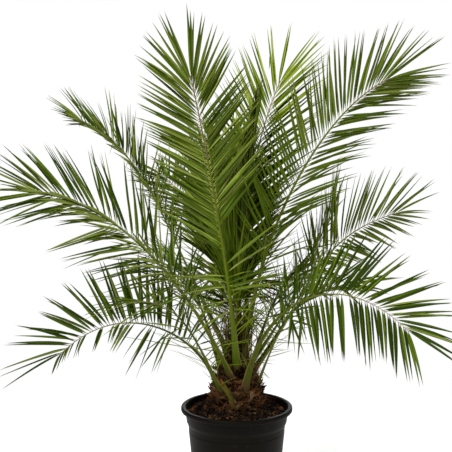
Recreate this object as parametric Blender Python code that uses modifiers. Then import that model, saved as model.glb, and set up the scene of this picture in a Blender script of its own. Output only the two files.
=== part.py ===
"""Potted Canary Island date palm: pot, soil, trunk and feather fronds, each a separate solid.

Metres, +Z up. The origin is the centre of the pot's flat underside, which stands on the floor.
A frond is a rib on a Bezier curve from its seat on the trunk to its tip, with two rows of keeled
leaflets. A frond that arches over is parted at its bend into a stalk and a blade.
"""

import math

import bmesh
import bpy
import numpy as np
from mathutils import Vector
from mathutils.bvhtree import BVHTree

NAME = "potted_canary_island_date_palm"
CLEAR = 0.0003  # gap that touching pieces keep

# Pot
POT_HEIGHT = 0.271
POT_RIM_R = 0.150
POT_MOUTH_R = 0.1375  # inside the rolled rim
POT_NECK_R = 0.1385  # outside, just under the rim
POT_BASE_R = 0.1095
POT_WALL = 0.003
POT_FLOOR = 0.004
RIM_BAND = 0.013  # height of the rolled rim
RIM_ROUND = 0.003
SHOULDER_DROP = 0.050  # the body steps in this far below the top
SHOULDER_IN = 0.004
RING_DROP = 0.069  # a low ring runs round the body this far below the top
RING_OUT = 0.0012
POT_SIDES = 48

# Soil
SOIL_EDGE_Z = POT_HEIGHT - 0.016
SOIL_TOP_Z = POT_HEIGHT - 0.002  # mounded round the trunk's foot
SOIL_FLAT_R = 0.068
SOIL_SIDES = 36

# Trunk: height above its foot and radius
TRUNK_FOOT_Z = SOIL_TOP_Z + CLEAR
TRUNK_PROFILE = (
    (0.142, 0.018), (0.132, 0.026), (0.112, 0.036), (0.088, 0.044),
    (0.062, 0.052), (0.036, 0.058), (0.014, 0.062), (0.000, 0.058),
)
TRUNK_SIDES = 30
STUB_COUNT = 34  # cut leaf bases round the trunk
STUB_LENGTHS = (0.024, 0.018)  # low and high on the trunk
STUB_HALF_WIDTH = 0.013
STUB_THICK = 0.010
STUB_HEIGHTS = (0.016, 0.070)  # first and last stub's root above the foot
STUB_RISE = (30, 62)  # degrees above level, low and high on the trunk
STUB_VARIES = (0.75, 1.25)  # shortest and longest against its usual length
STUB_SUNK = 0.012
STUB_TAPER = (0.85, 0.5)  # its size at half length and at its cut end
STUB_MARGIN = 0.001
GOLDEN_ANGLE = 137.508
GOLDEN_SHARE = 0.618

# Ribs: share of the rib's length against half width
RIB_STEPS = 12
RIB_HALF_WIDTH = ((0.0, 0.0125), (0.12, 0.0092), (0.35, 0.0052), (0.7, 0.0034), (1.0, 0.0018))
RIB_KEEL = 0.9  # depth of the keel against the half width
RIB_CROWN = 0.4
RIB_ROOT = 0.030  # the leaf base runs on down into the trunk
RIB_ROOT_FLARE = 1.35
ROLL_FROM, ROLL_TO = 0.10, 0.45  # a frond's face turns over this stretch of its rib

# Leaflets: share of the blade against angle to the rib in degrees, and against length
LEAFLET_ANGLE = ((0.0, 72), (0.25, 58), (0.6, 48), (0.9, 34), (1.0, 12))
LEAFLET_LENGTH = ((0.0, 0.50), (0.18, 0.82), (0.45, 1.0), (0.8, 0.95), (1.0, 0.9))
LEAFLET_WIDEST_ANGLE = 84
LEAFLET_HALF_WIDTH = 0.0120
LEAFLET_THICK = 0.0036
LEAFLET_WIDEST = 0.38  # share of its length where a leaflet is widest
LEAFLET_ROOT = 0.28  # its width at the root against the widest
LEAFLET_ROOT_THICK = 0.6
LEAFLET_DROOP = 0.10
LEAFLET_MARGIN = 0.0012  # room that a leaflet keeps from every other piece
LEAFLET_STAGGER = (0.5, 0.72)  # the two rows don't pair exactly
SHORTER = (1.0, 0.8, 0.62, 0.46)  # lengths tried in turn where a leaflet would touch
DEFAULT_PAIRS = 15
DEFAULT_LIFT = 14

# seat: azimuth, radius and height where the rib leaves the trunk, and its rise there.
# tip: azimuth, reach from the axis, height, and the rib's slope there (degrees and metres).
# hold: how strongly each end keeps its direction. roll: how far the blade's face turns.
# leaf: longest leaflet. start: where the leaflets begin. part: where an arching frond is parted.
FRONDS = {
    "frond_front_upright": dict(
        seat=(-92, 0.039, 0.385, 35), tip=(-116, 0.26, 1.155, 68), hold=(0.46, 0.51),
        roll=30, leaf=0.215, start=0.24, pairs=16, spread=1.06),
    "frond_back_upright": dict(
        seat=(56, 0.026, 0.400, 76), tip=(52, 0.193, 1.137, 55), hold=(0.39, 0.49),
        roll=25, leaf=0.218, start=0.30, pairs=15),
    "frond_right_high": dict(
        seat=(-40, 0.020, 0.390, 83), tip=(0, 0.395, 1.145, 24), hold=(0.47, 0.20),
        roll=-66, lift=12, leaf=0.205, start=0.28, pairs=16),
    "frond_right_mid": dict(
        seat=(34, 0.049, 0.352, 46), tip=(30, 0.53, 0.76, 10), hold=(0.49, 0.45),
        roll=-75, lift=16, leaf=0.2, start=0.36, pairs=14, stout=0.85),
    "frond_right_low": dict(
        seat=(-66, 0.055, 0.333, 70), tip=(-38, 0.52, 0.547, -38), hold=(0.53, 0.49),
        roll=-85, lift=10, leaf=0.195, start=0.33, spread=1.2, part=0.42, pairs=16, stout=1.1),
    "frond_left_low": dict(
        seat=(-165, 0.056, 0.325, 80), tip=(-148, 0.515, 0.477, -38), hold=(0.24, 0.52),
        roll=48, leaf=0.2, start=0.34, spread=1.25, part=0.44, pairs=15, lift=34, stout=0.8),
    "frond_left_mid": dict(
        seat=(-108, 0.047, 0.366, 42), tip=(-165, 0.53, 0.864, 9), hold=(0.50, 0.36),
        roll=50, lift=24, leaf=0.195, start=0.32, spread=1.1, pairs=16),
    "frond_left_high": dict(
        seat=(119, 0.032, 0.392, 38), tip=(146, 0.545, 1.022, 14), hold=(0.63, 0.30),
        roll=44, leaf=0.170, start=0.32, pairs=15, lift=34, stout=0.8),
    "frond_rear_left": dict(
        seat=(92, 0.042, 0.378, 60), tip=(116, 0.50, 0.85, 15), hold=(0.45, 0.40),
        roll=-20, leaf=0.170, start=0.30, pairs=13, stout=0.85),
    "frond_rear_right": dict(
        seat=(22, 0.038, 0.380, 46), tip=(50, 0.45, 0.775, 64), hold=(0.22, 0.18),
        roll=-70, leaf=0.140, start=0.30, pairs=12, stout=0.75),
    "frond_rear_low": dict(
        seat=(84, 0.058, 0.333, 66), tip=(90, 0.54, 0.62, -22), hold=(0.42, 0.40),
        roll=10, leaf=0.185, start=0.30, part=0.42, pairs=12, stout=0.85),
    "frond_rear_right_low": dict(
        seat=(56, 0.056, 0.330, 62), tip=(66, 0.55, 0.50, -34), hold=(0.42, 0.42),
        roll=-30, leaf=0.175, start=0.30, part=0.42, pairs=11, stout=0.8),
    "frond_rear_left_low": dict(
        seat=(128, 0.056, 0.330, 62), tip=(114, 0.55, 0.54, -28), hold=(0.42, 0.42),
        roll=30, leaf=0.175, start=0.30, part=0.42, pairs=11, stout=0.8),
    "frond_left_inner": dict(
        seat=(-130, 0.062, 0.320, 56), tip=(-139, 0.35, 0.60, 0), hold=(0.42, 0.40),
        roll=40, leaf=0.140, start=0.34, pairs=8, stout=0.7),
    "frond_right_inner": dict(
        seat=(-20, 0.056, 0.328, 70), tip=(0, 0.30, 0.60, 0), hold=(0.42, 0.40),
        roll=-40, leaf=0.140, start=0.34, pairs=8, stout=0.55),
    "frond_rear_inner": dict(
        seat=(120, 0.016, 0.405, 82), tip=(98, 0.20, 0.90, 60), hold=(0.42, 0.40),
        roll=0, lift=16, leaf=0.150, start=0.30, pairs=10, stout=0.7),
    "frond_spear_tall": dict(
        seat=(-100, 0.009, 0.404, 88), tip=(-20, 0.04, 0.93, 82), hold=(0.42, 0.40),
        roll=0, lift=10, leaf=0.150, start=0.35, spread=0.45, pairs=6, stout=0.55),
    "frond_spear_short": dict(
        seat=(60, 0.007, 0.404, 86), tip=(170, 0.06, 0.82, 80), hold=(0.42, 0.40),
        roll=40, lift=10, leaf=0.140, start=0.35, spread=0.45, pairs=6, stout=0.55),
}


def clear_scene():
    for obj in list(bpy.data.objects):
        bpy.data.objects.remove(obj, do_unlink=True)


def new_collection(name):
    coll = bpy.data.collections.new(name)
    bpy.context.scene.collection.children.link(coll)
    return coll


def make_material(name, color, roughness):
    mat = bpy.data.materials.new(name)
    mat.use_nodes = True
    shader = mat.node_tree.nodes["Principled BSDF"]
    shader.inputs["Base Color"].default_value = (*color, 1.0)
    shader.inputs["Roughness"].default_value = roughness
    shader.inputs["Metallic"].default_value = 0.0
    return mat


def along(table, x):
    """Value at x of a short table of (x, value) pairs, straight between them."""
    return float(np.interp(x, [pair[0] for pair in table], [pair[1] for pair in table]))


def direction(azimuth, rise):
    """Unit vector from an azimuth and a rise above level, in degrees."""
    a, e = math.radians(azimuth), math.radians(rise)
    return Vector((math.cos(e) * math.cos(a), math.cos(e) * math.sin(a), math.sin(e)))


def on_circle(azimuth, radius, height):
    return direction(azimuth, 0) * radius + Vector((0, 0, height))


def loft(sections):
    """Closed bmesh through sections of three points each; a last section of one is a tip."""
    bm = bmesh.new()
    rings = [[bm.verts.new(point) for point in section] for section in sections]
    bm.faces.new(reversed(rings[0]))
    for low, high in zip(rings, rings[1:]):
        for i, j in ((0, 1), (1, 2), (2, 0)):
            if len(high) == 1:
                bm.faces.new((low[i], low[j], high[0]))
            else:
                bm.faces.new((low[i], low[j], high[j], high[i]))
    if len(rings[-1]) == 3:
        bm.faces.new(rings[-1])
    bmesh.ops.recalc_face_normals(bm, faces=bm.faces)
    return bm


def bm_object(bm, name, coll, mat=None):
    """New object from a bmesh, which is used up."""
    mesh = bpy.data.meshes.new(name)
    bm.to_mesh(mesh)
    bm.free()
    if mat:
        mesh.materials.append(mat)
    obj = bpy.data.objects.new(name, mesh)
    coll.objects.link(obj)
    return obj


def turned(name, profile, sides, coll, mat=None):
    """Solid turned about Z from a profile of (radius, height) that runs down its outer side."""
    bm = bmesh.new()
    verts = [bm.verts.new((radius, 0.0, height)) for radius, height in profile]
    for upper, lower in zip(verts, verts[1:]):
        bm.edges.new((upper, lower))
    obj = bm_object(bm, name, coll, mat)
    screw = obj.modifiers.new("turn", "SCREW")
    screw.steps = screw.render_steps = sides
    screw.use_merge_vertices = True
    screw.merge_threshold = 0.00001
    screw.use_smooth_shade = True
    return obj


def apply_modifiers(obj):
    graph = bpy.context.evaluated_depsgraph_get()
    mesh = bpy.data.meshes.new_from_object(obj.evaluated_get(graph))
    obj.modifiers.clear()
    obj.data = mesh


def join_parts(obj, coll):
    """Union of obj with every object of the collection, which are then removed."""
    if not coll.objects:
        return
    union = obj.modifiers.new("join", "BOOLEAN")
    union.operation = "UNION"
    union.operand_type = "COLLECTION"
    union.collection = coll
    union.solver = "MANIFOLD"
    apply_modifiers(obj)
    for part in list(coll.objects):
        bpy.data.objects.remove(part, do_unlink=True)


def cut_clear(obj, cutter):
    """Cut a piece clear of the trunk; the cutter stands CLEAR proud of it."""
    cut = obj.modifiers.new("clear_of_trunk", "BOOLEAN")
    cut.operation = "DIFFERENCE"
    cut.object = cutter
    cut.solver = "MANIFOLD"
    apply_modifiers(obj)


def tree_of(bms):
    """Search tree over the faces of several bmeshes."""
    verts, faces = [], []
    for bm in bms:
        base = len(verts)
        bm.verts.index_update()
        verts.extend(vert.co.copy() for vert in bm.verts)
        faces.extend([base + vert.index for vert in face.verts] for face in bm.faces)
    return BVHTree.FromPolygons(verts, faces)


def touches(bm, tree):
    return bool(tree_of([bm]).overlap(tree))


class Rib:
    """A frond's rib: a Bezier curve with a frame that the leaflets are set in."""

    def __init__(self, spec):
        self.spec = spec
        azimuth, radius, height, rise = spec["seat"]
        tip_azimuth, reach, tip_height, slope = spec["tip"]
        seat = on_circle(azimuth, radius, height)
        tip = on_circle(tip_azimuth, reach, tip_height)
        chord = tip - seat
        plane = math.degrees(math.atan2(chord.y, chord.x))
        hold_seat, hold_tip = (hold * chord.length for hold in spec["hold"])
        self.knots = (
            seat,
            seat + direction(azimuth, rise) * hold_seat,
            tip - direction(plane, slope) * hold_tip,
            tip,
        )
        self.level_side = direction(plane + 90, 0)

    def point(self, t):
        a, b, c, d = self.knots
        s = 1 - t
        return a * s**3 + b * (3 * s * s * t) + c * (3 * s * t * t) + d * t**3

    def velocity(self, t):
        a, b, c, d = self.knots
        s = 1 - t
        return ((b - a) * s * s + (c - b) * (2 * s * t) + (d - c) * t * t) * 3

    def frame(self, t):
        """Point, tangent, side and face directions at t, with the frond's roll."""
        tangent = self.velocity(t).normalized()
        side = (self.level_side - tangent * self.level_side.dot(tangent)).normalized()
        face = tangent.cross(side)
        x = min(1.0, max(0.0, (t - ROLL_FROM) / (ROLL_TO - ROLL_FROM)))
        roll = math.radians(self.spec["roll"]) * x * x * (3 - 2 * x)
        side = side * math.cos(roll) + face * math.sin(roll)
        return self.point(t), tangent, side, tangent.cross(side)

    def section(self, t, back=0.0, flare=1.0):
        """Three corners of the rib: two edges above, and a keel under them."""
        point, tangent, side, face = self.frame(t)
        half = along(RIB_HALF_WIDTH, t) * self.spec.get("stout", 1.0) * flare
        middle = point - tangent * back
        edge = middle + face * (half * RIB_CROWN)
        return edge + side * half, edge - side * half, middle - face * (half * RIB_KEEL)

    def solid(self, start, end):
        sections = [self.section(start + (end - start) * i / RIB_STEPS) for i in range(RIB_STEPS + 1)]
        if start == 0.0:
            flare = self.spec.get("stout", 1.0) * RIB_ROOT_FLARE
            sections.insert(0, self.section(0.0, back=RIB_ROOT, flare=max(1.0, flare)))
        return loft(sections)

    def pieces(self):
        """Name ending, start and end on the rib of each solid that the frond is made in."""
        part = self.spec.get("part")
        if part is None:
            return [("", 0.0, 1.0)]
        gap = CLEAR / self.velocity(part).length
        return [("_stalk", 0.0, part), ("_blade", part + gap, 1.0)]

    def leaflet_places(self, start, end):
        """Place on the rib, share of the blade and side of every leaflet between two places."""
        first, pairs = self.spec["start"], self.spec.get("pairs", DEFAULT_PAIRS)
        for i in range(pairs):
            for sign, stagger in zip((1, -1), LEAFLET_STAGGER):
                share = (i + stagger) / pairs
                place = first + (1 - first) * share
                if start < place < end:
                    yield place, share, sign

    def leaflet(self, place, share, sign, shorten, grow=0.0):
        """One keeled leaflet as a closed bmesh; grow thickens it to test its clearance."""
        point, tangent, side, face = self.frame(place)
        spread = self.spec.get("spread", 1.0) * along(LEAFLET_ANGLE, share)
        angle = math.radians(min(LEAFLET_WIDEST_ANGLE, spread))
        lift = math.radians(self.spec.get("lift", DEFAULT_LIFT))
        outward = side * (sign * math.cos(lift)) + face * math.sin(lift)
        heading = tangent * math.cos(angle) + outward * math.sin(angle)
        across = heading.cross(face).normalized()
        up = across.cross(heading)
        length = self.spec["leaf"] * along(LEAFLET_LENGTH, share) * shorten
        half = LEAFLET_HALF_WIDTH * math.sqrt(shorten)

        def ring(distance, half_width, thick):
            center = point + heading * distance
            edge = center + up * grow
            outer = across * (half_width + grow)
            return edge + outer, edge - outer, center - up * (thick + grow)

        tip = point + heading * length
        tip.z -= LEAFLET_DROOP * length * math.hypot(heading.x, heading.y)
        return loft([
            ring(0.0, half * LEAFLET_ROOT, LEAFLET_THICK * LEAFLET_ROOT_THICK),
            ring(length * LEAFLET_WIDEST, half, LEAFLET_THICK),
            (tip,),
        ])

    def clear_leaflet(self, place, share, sign, tree):
        """The longest leaflet here that touches nothing in the tree, or None."""
        for shorten in SHORTER:
            tested = self.leaflet(place, share, sign, shorten, grow=LEAFLET_MARGIN)
            blocked = touches(tested, tree)
            tested.free()
            if not blocked:
                return self.leaflet(place, share, sign, shorten)
        return None


def make_pot(coll):
    """Thin-walled plastic pot with a rolled rim, a shoulder and a low ring."""
    top = POT_HEIGHT
    neck, shoulder, ring = top - RIM_BAND, top - SHOULDER_DROP, top - RING_DROP
    taper = (POT_NECK_R - SHOULDER_IN - POT_BASE_R) / neck

    def body_r(height):
        return POT_BASE_R + taper * height

    profile = [
        (0.0, POT_FLOOR),
        (body_r(POT_FLOOR) - POT_WALL, POT_FLOOR),
        (body_r(shoulder) - POT_WALL, shoulder),
        (body_r(neck) + SHOULDER_IN - POT_WALL, neck),
        (POT_MOUTH_R, top - RIM_ROUND),
        (POT_MOUTH_R + RIM_ROUND, top),
        (POT_RIM_R - RIM_ROUND, top),
        (POT_RIM_R, top - RIM_ROUND),
        (POT_RIM_R, neck + RIM_ROUND),
        (POT_RIM_R - RIM_ROUND, neck),
        (body_r(neck) + SHOULDER_IN, neck),
        (body_r(shoulder) + SHOULDER_IN, shoulder + SHOULDER_IN),
        (body_r(shoulder), shoulder),
        (body_r(ring), ring + 2 * RING_OUT),
        (body_r(ring) + RING_OUT, ring),
        (body_r(ring), ring - 2 * RING_OUT),
        (POT_BASE_R, RIM_ROUND),
        (POT_BASE_R - RIM_ROUND, 0.0),
        (0.0, 0.0),
    ]
    mat = make_material("pot_black", (0.012, 0.012, 0.012), 0.35)
    pot = turned("pot", profile, POT_SIDES, coll, mat)
    walls = dict(zip(("floor", "shoulder", "neck"), profile[1:4]))
    return pot, walls


def make_soil(coll, walls):
    """Soil that fills the pot, mounded to a flat round the trunk's foot."""
    wall_r = [walls[key][0] - CLEAR for key in ("floor", "shoulder", "neck")]
    heights = [walls["floor"][1] + CLEAR, walls["shoulder"][1], walls["neck"][1]]
    profile = [
        (0.0, SOIL_TOP_Z),
        (SOIL_FLAT_R, SOIL_TOP_Z),
        (along(tuple(zip(heights, wall_r)), SOIL_EDGE_Z), SOIL_EDGE_Z),
        (wall_r[1], heights[1]),
        (wall_r[0], heights[0]),
        (0.0, heights[0]),
    ]
    mat = make_material("soil_dark", (0.03, 0.018, 0.01), 0.95)
    return turned("soil", profile, SOIL_SIDES, coll, mat)


def trunk_core(name, coll, grow, mat=None):
    """Turned core of the trunk; grow stands it out on every side."""
    profile = [(radius + grow, TRUNK_FOOT_Z + height) for height, radius in TRUNK_PROFILE]
    top, foot = profile[0][1] + grow, profile[-1][1] - grow
    profile[0] = (profile[0][0], top)
    profile[-1] = (profile[-1][0], foot)
    return turned(name, [(0.0, top)] + profile + [(0.0, foot)], TRUNK_SIDES, coll, mat)


def between(pair, share):
    return pair[0] + (pair[1] - pair[0]) * share


def stub_solid(index, grow=0.0):
    """One cut leaf base: a keeled wedge that stands up and out from the trunk."""
    share = index / (STUB_COUNT - 1)
    azimuth = index * GOLDEN_ANGLE
    height = between(STUB_HEIGHTS, share)
    heading = direction(azimuth, between(STUB_RISE, share))
    side = direction(azimuth + 90, 0)
    under = side.cross(heading)
    root = on_circle(azimuth, along(TRUNK_PROFILE[::-1], height), TRUNK_FOOT_Z + height)
    length = between(STUB_LENGTHS, share) * between(STUB_VARIES, index * GOLDEN_SHARE % 1)

    def section(distance, size):
        center = root + heading * distance
        edge = center - under * grow
        outer = side * (STUB_HALF_WIDTH * size + grow)
        return edge + outer, edge - outer, center + under * (STUB_THICK * size + grow)

    middle, end = STUB_TAPER
    return loft([section(-STUB_SUNK, 1.0), section(length / 2, middle), section(length, end)])


def make_trunk(coll, guides, rib_solids):
    """Short tapered trunk, flat at its foot, in a coat of cut leaf bases."""
    mat = make_material("trunk_brown", (0.12, 0.06, 0.03), 0.9)
    trunk = trunk_core("trunk", coll, 0.0, mat)
    ribs_tree = tree_of(rib_solids)
    for index in range(STUB_COUNT):
        tested = stub_solid(index, grow=STUB_MARGIN)
        if not touches(tested, ribs_tree):
            bm_object(stub_solid(index), "stub", guides)
        tested.free()
    join_parts(trunk, guides)
    return trunk


def make_fronds(coll, guides, ribs, rib_solids, trunk):
    """Every frond in turn; its leaflets keep clear of all ribs and of the leaflets before them."""
    mat = make_material("frond_green", (0.10, 0.19, 0.035), 0.45)
    cutter = trunk_core("trunk_cutter", guides, CLEAR)
    apply_modifiers(cutter)
    guides.objects.unlink(cutter)
    trunk_bm = bmesh.new()
    trunk_bm.from_mesh(trunk.data)
    placed = [trunk_bm]
    for node, (rib, start, end) in ribs.items():
        tree = tree_of(placed + [bm for key, bm in rib_solids.items() if key != node])
        places = rib.leaflet_places(start, end)
        leaflets = [rib.clear_leaflet(*place, tree) for place in places]
        for bm in filter(None, leaflets):
            placed.append(bm.copy())
            bm_object(bm, node + "_leaflet", guides)
        frond = bm_object(rib_solids[node].copy(), node, coll, mat)
        join_parts(frond, guides)
        if start == 0.0:
            cut_clear(frond, cutter)
    bpy.data.objects.remove(cutter, do_unlink=True)


def build():
    clear_scene()
    parts = new_collection(NAME)
    guides = new_collection(NAME + "_guides")
    pot, walls = make_pot(parts)
    make_soil(parts, walls)
    ribs = {}
    for name, spec in FRONDS.items():
        rib = Rib(spec)
        for ending, start, end in rib.pieces():
            ribs[name + ending] = (rib, start, end)
    rib_solids = {node: rib.solid(start, end) for node, (rib, start, end) in ribs.items()}
    trunk = make_trunk(parts, guides, rib_solids.values())
    make_fronds(parts, guides, ribs, rib_solids, trunk)


if __name__ == "__main__":
    build()
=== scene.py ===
"""Potted Canary Island date palm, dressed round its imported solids.

Metres, +Z up. Each frond's solid gives way to its rib, its leaflets and the spines on its stalk,
which follow the same curves and the same rule as the solids and keep to the same reach.
"""

import math
import random

import bpy
import numpy as np
from mathutils import Matrix, Vector, noise


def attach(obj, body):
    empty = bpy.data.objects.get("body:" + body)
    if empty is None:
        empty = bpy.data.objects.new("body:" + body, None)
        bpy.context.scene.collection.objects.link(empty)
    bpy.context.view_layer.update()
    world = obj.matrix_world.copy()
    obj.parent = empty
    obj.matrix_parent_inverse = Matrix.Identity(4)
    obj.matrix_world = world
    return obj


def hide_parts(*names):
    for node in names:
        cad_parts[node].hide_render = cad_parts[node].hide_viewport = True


bl_info = {
    "name": "Potted Canary Island Date Palm",
    "version": (1, 0, 0),
    "blender": (4, 5, 0),
    "location": "3D View > Sidebar > Palm",
    "description": "Leaflets, fibre, soil and pot for the solids of a potted date palm",
    "category": "Object",
}

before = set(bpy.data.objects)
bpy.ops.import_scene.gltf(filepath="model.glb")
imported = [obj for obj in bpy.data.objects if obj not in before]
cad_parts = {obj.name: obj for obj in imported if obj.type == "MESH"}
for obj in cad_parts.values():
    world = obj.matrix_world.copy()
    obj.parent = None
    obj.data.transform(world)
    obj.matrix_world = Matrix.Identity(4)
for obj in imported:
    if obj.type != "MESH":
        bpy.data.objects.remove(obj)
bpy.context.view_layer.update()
BODY = "root"
DOWN = Vector((0, 0, -1))

# Pot and soil
POT_HEIGHT = 0.271
POT_RIM_R = 0.150
POT_MOUTH_R = 0.1375
POT_NECK_R = 0.1385
POT_BASE_R = 0.1095
POT_WALL = 0.003
POT_FLOOR = 0.004
RIM_BAND = 0.013
SHOULDER_DROP = 0.050
SHOULDER_IN = 0.004
RING_DROP = 0.069
RING_OUT = 0.0012
SOIL_EDGE_Z = POT_HEIGHT - 0.016
SOIL_TOP_Z = POT_HEIGHT - 0.002
SOIL_FLAT_R = 0.068
SOIL_EDGE_R = 0.1340
SOIL_DEEP = 0.03
SOIL_FOOT_R = 0.1262

# Trunk: height above its foot and radius
TRUNK_FOOT_Z = SOIL_TOP_Z + 0.0003
TRUNK_PROFILE = (
    (0.142, 0.018), (0.132, 0.026), (0.112, 0.036), (0.088, 0.044),
    (0.062, 0.052), (0.036, 0.058), (0.014, 0.062), (0.000, 0.058),
)
TRUNK_ROWS = 34
TRUNK_SIDES = 120
TRUNK_RELIEF = (0.0045, 70)  # depth and scale
TRUNK_FRACTAL = (0.8, 2.0, 4)  # fall of its octaves, the step between them and their number
STUB_COUNT = 34
STUB_LENGTHS = (0.0252, 0.0189)
STUB_HALF_WIDTH = 0.01105
STUB_THICK = 0.006
STUB_HEIGHTS = (0.016, 0.070)
STUB_RISE = (30, 62)
STUB_VARIES = (0.75, 1.25)
STUB_TONES = (0, 0, 1, 2)
BOOT_SUNK = 0.012  # how far a leaf base starts inside the trunk
BOOT_SIDES = 10
BOOT_OUTLINE = ((0.0, 1.0), (0.35, 0.95), (0.7, 0.8))
BOOT_ROOT_SIZE = 1.05
BOOT_STRAY = (6, 8)  # degrees, for its heading and for its side
BOOT_HOLLOW = 0.35
BOOT_FLAT = 0.6
BOOT_UNEVEN = 0.13
BOOT_TORN_PULL = (0.05, 0.55)
BOOT_TORN_SIZE = (0.55, 0.95)
BOOT_CORE = (0.55, 0.4)  # place and size of the end within the torn edge
BOOT_TORN_FROM = 4  # rings past here are the torn edge
BOOT_TORN_TONE = 2
FLAP_HEIGHTS = (0.008, 0.095)  # lowest, and from there to the highest
FLAP_TURN = 60
FLAP_LENGTHS = (0.008, 0.028)
FLAP_HALF_WIDTHS = (0.003, 0.012)
FLAP_THICK = (0.0015, 0.006)
FLAP_RISE = (10, 80)
FLAP_LEAN = 35
FLAP_TONES = (0, 0, 0, 1, 1, 2, 2, 3)
STUMP = dict(azimuth=-97, height=0.022, length=0.072, half=0.0100, thick=0.012, rise=60, tone=4, lean=-56)
GOLDEN_ANGLE = 137.508
GOLDEN_SHARE = 0.618

# Ribs and spines
RIB_STEPS = 56
RIB_SIDES = 12
RIB_HALF_WIDTH = ((0.0, 0.0122), (0.12, 0.0080), (0.32, 0.0040), (0.7, 0.0022), (1.0, 0.0011))
RIB_KEEL = 1.3
RIB_KEEL_POWER = 1.25
RIB_CROWN = 0.4
RIB_SWELL = 0.12
RIB_ROOT = 0.030
RIB_ROOT_FLARE = 1.35
RIB_EDGE_POWER = 6
ROLL_FROM, ROLL_TO = 0.10, 0.45
# Sunlit fronds get the brighter stalk paint, painted light; the others get the darker shaded copy, painted
# shade.
SUNLIT_FROM = 0.55  # fronds at least this light have the brighter stalk
STRAW_STARTS = {"sunlit": 0.90, "shaded": 0.72}
INSIDE = 0.8  # share of the rib's half width at which leaflets and spines are rooted
SPINE_FROM = 0.03
SPINE_LIFT = (10, 34)  # mean and spread
SPINE_ANGLES = (30, 85)
SPINE_LENGTHS = (0.35, 1.0)  # share of the full length at the foot and at the blade
SPINE_VARIES = (0.5, 1.2)
SPINE_WIDTHS = (0.6, 1.2)
SPINE_BOW = 0.02
SPINE_DROOP = (0.0, 0.03)
SPINE_THICK = 0.35
SPINE_OUTLINE = ((0.0, 0.8), (0.1, 0.9), (0.35, 1.0), (0.65, 0.7), (0.88, 0.35))
SPINE_GREEN, SPINE_YELLOW, SPINE_TIP = range(3)
SPINE_TONES = (SPINE_GREEN, SPINE_GREEN, SPINE_YELLOW)

# Leaflets
LEAFLET_ANGLE = ((0.0, 54), (0.25, 50), (0.6, 46), (0.9, 34), (1.0, 12))
CLOSING_ANGLE = ((0.0, 96), (0.16, 84), (0.32, 60), (0.5, 51), (0.8, 55), (0.93, 40), (1.0, 11))
LEAFLET_LENGTH = ((0.0, 0.66), (0.18, 0.85), (0.45, 1.0), (0.8, 0.95), (1.0, 0.9))
LEAFLET_WIDEST_ANGLE = 92
LOWER_WIDEST_ANGLE = 118
LOWER_OPENS = 0.4  # lower leaflets near the stalk stand this much wider
LEAFLET_OUTLINE = (
    (0.0, 0.26), (0.035, 0.24), (0.09, 0.60), (0.18, 0.92), (0.34, 1.0),
    (0.52, 0.88), (0.68, 0.64), (0.83, 0.36), (0.94, 0.14),
)
LEAFLET_FOLD = 34  # degrees that each half stands up from flat
LEAFLET_THICK = 0.0009
LEAFLET_OPENS, LEAFLET_THINS = 0.5, 0.6  # shares of the fold and of the keel lost by the tip
EARLY_POWER = 3
CROWDING = 1.12  # leaflets stand closer towards the tip
STAGGER = ((1, 0.3), (-1, 0.7))  # the two rows alternate
PAIRING = 0.16  # every other leaflet stands closer to the one before
PALE_FROM, STRAW_FROM = 0.66, 0.80  # leaflets past here on the rib have pale or straw feet
GROUP_SWING = 6  # degrees that neighbouring leaflets lean together
GROUP_PACE = (0.21, 7.3)  # how fast that lean changes along a row, and how the rows differ
GROUP_SIZES = (2, 2, 3, 3, 4)
GROUP_RISES = (-8, -3, 3, 9)  # degrees by which a group stands off its row
MANTLE_GROUP = (-24, -22, 1.0)  # lean, rise and length of the short leaflets along some ribs
MANTLE_LENGTHS = (0.3, 0.6)

# How far the random draws go: for a leaflet in its row, and what a messy one adds
FAN_MESS = 34
ANGLE_VARIES, ANGLE_MESS = 1.6, 13
LIFT_VARIES = 3
LENGTH_VARIES, LENGTH_MESS = (0.93, 1.03), 0.15
WIDTH_VARIES, WIDTH_MESS = (0.85, 1.1), 0.25
DROOP_VARIES, DROOP_MESS = (0.4, 1.5), 0.08
BOW, BOW_VARIES, BOW_MESS = 0.02, 0.03, 0.01
TWIST_VARIES, TWIST_MESS = 10, 30
TURN_VARIES, TURN_MESS = 18, 60
KINK_AT = (0.45, 0.75)
KINK_ROUND = 0.2
KINK_DOWN, KINK_BACK = 0.8, 0.5

# Tones of a leaflet piece, in the order of its material slots
SUN, MID, DEEP, PALE_AND_SHEEN, UNDER, SHADE, DRY, STRAW = range(8)
# The pale tone in the last of these pairs is a painted sheen, chosen more often on fronds in the light; at
# the leaflets' feet it is their own pale colour.
GREEN_PAIRS = ((SUN, MID), (MID, DEEP), (DEEP, DEEP), (PALE_AND_SHEEN, SUN))
UNDER_PAIRS = ((UNDER, MID), (UNDER, SHADE), (MID, SHADE), (SHADE, DEEP))
LIT_TONES = (SUN, MID, MID, SUN)
MANTLE_TONES = (UNDER, SHADE, UNDER, MID)
SWAPPED_SHARE = 0.4

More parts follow.
